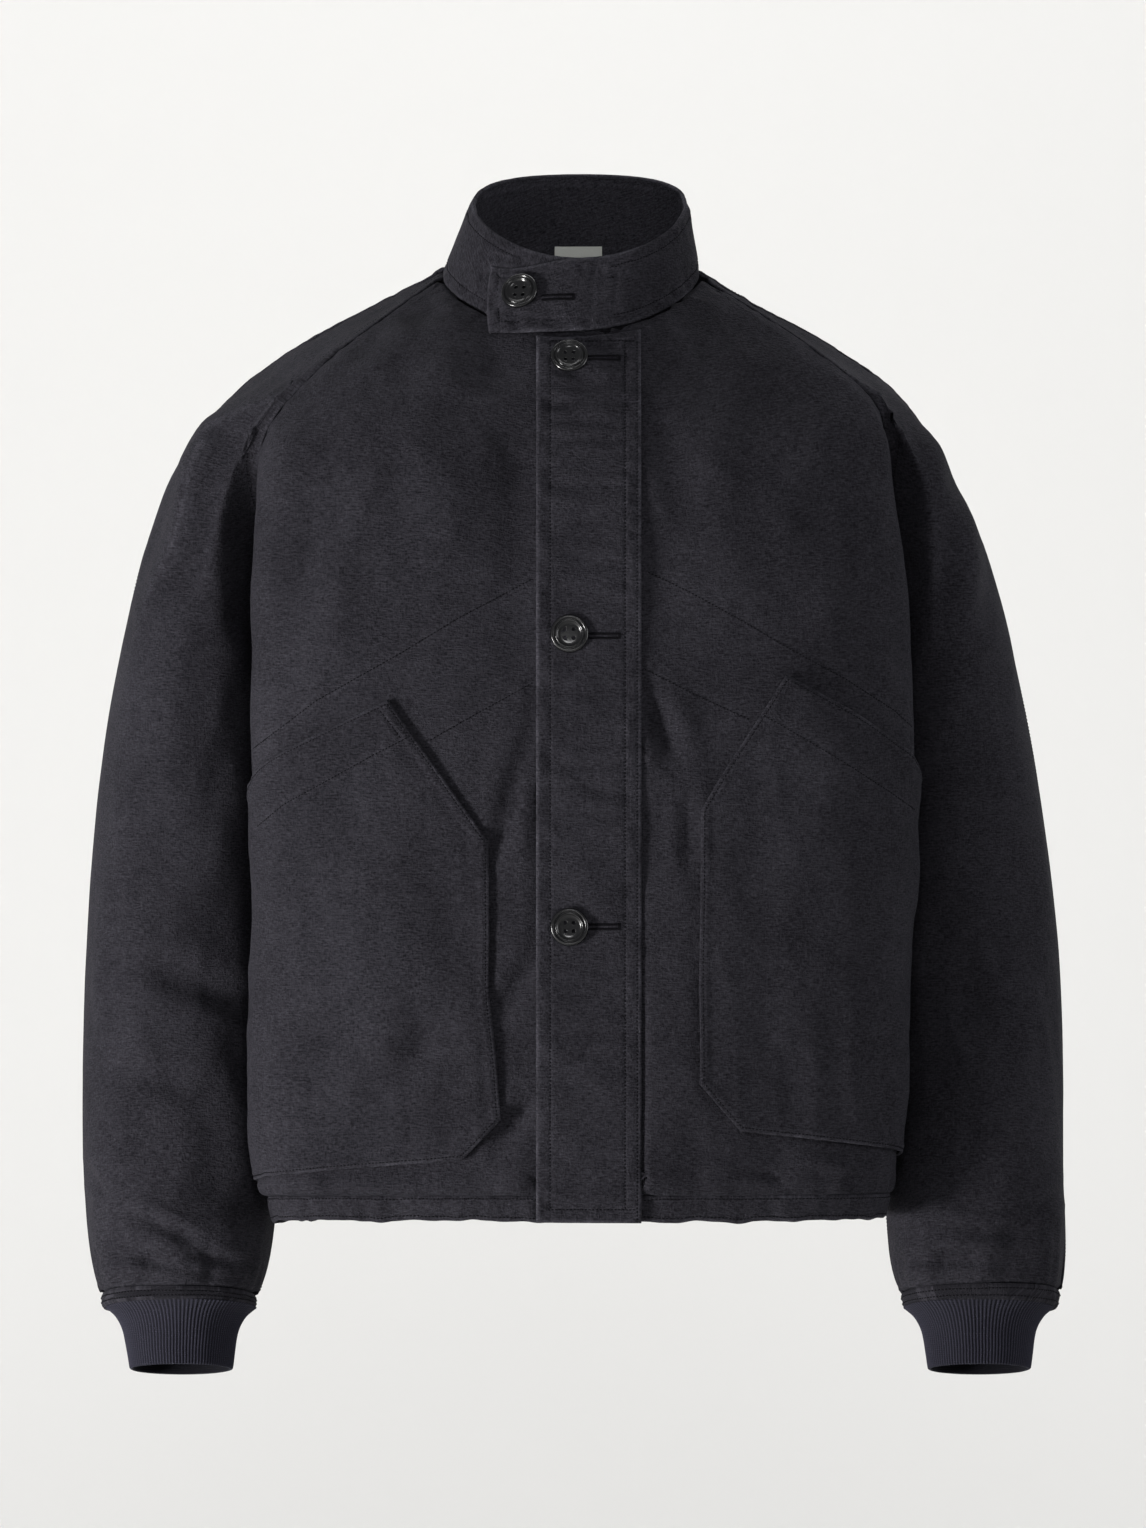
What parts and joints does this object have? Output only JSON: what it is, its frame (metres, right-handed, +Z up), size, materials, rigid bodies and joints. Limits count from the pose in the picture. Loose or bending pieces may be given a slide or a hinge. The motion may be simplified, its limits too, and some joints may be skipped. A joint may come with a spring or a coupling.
{
  "type": "canvas jacket",
  "caption": "Waist length work jacket in dark canvas, filled out and hanging open below, with raglan sleeves, stand collar, buttoned placket, patch pockets and rib cuffs.",
  "frame": {"origin": "between the shoulders at the height of the neck seam's side points, where the wearer holds the jacket up", "axes": "+Z up along the wearer, -Y out of the front, +X to the wearer's left"},
  "size_m": [0.6391, 0.289, 0.7834],
  "materials": {
    "canvas": "matte brushed cotton canvas, charcoal navy, worn lighter at the edges",
    "rib": "matte navy rib knit",
    "button": "polished black",
    "label": "plain off-white woven tape"
  },
  "bodies": {
    "root": {"front_right": "canvas", "front_left": "canvas", "back": "canvas", "hem_right": "canvas", "hem_left": "canvas", "hem_back": "canvas", "sleeve_right_front": "canvas", "sleeve_right_back": "canvas", "sleeve_left_front": "canvas", "sleeve_left_back": "canvas", "sleeve_edge_right": "canvas", "sleeve_edge_left": "canvas", "collar": "canvas", "placket": "canvas", "pocket_right": "canvas", "pocket_left": "canvas", "cuff_right": "rib", "cuff_left": "rib", "button_collar": "button", "button_1": "button", "button_2": "button", "button_3": "button", "label": "label"}
  },
  "joints": []
}
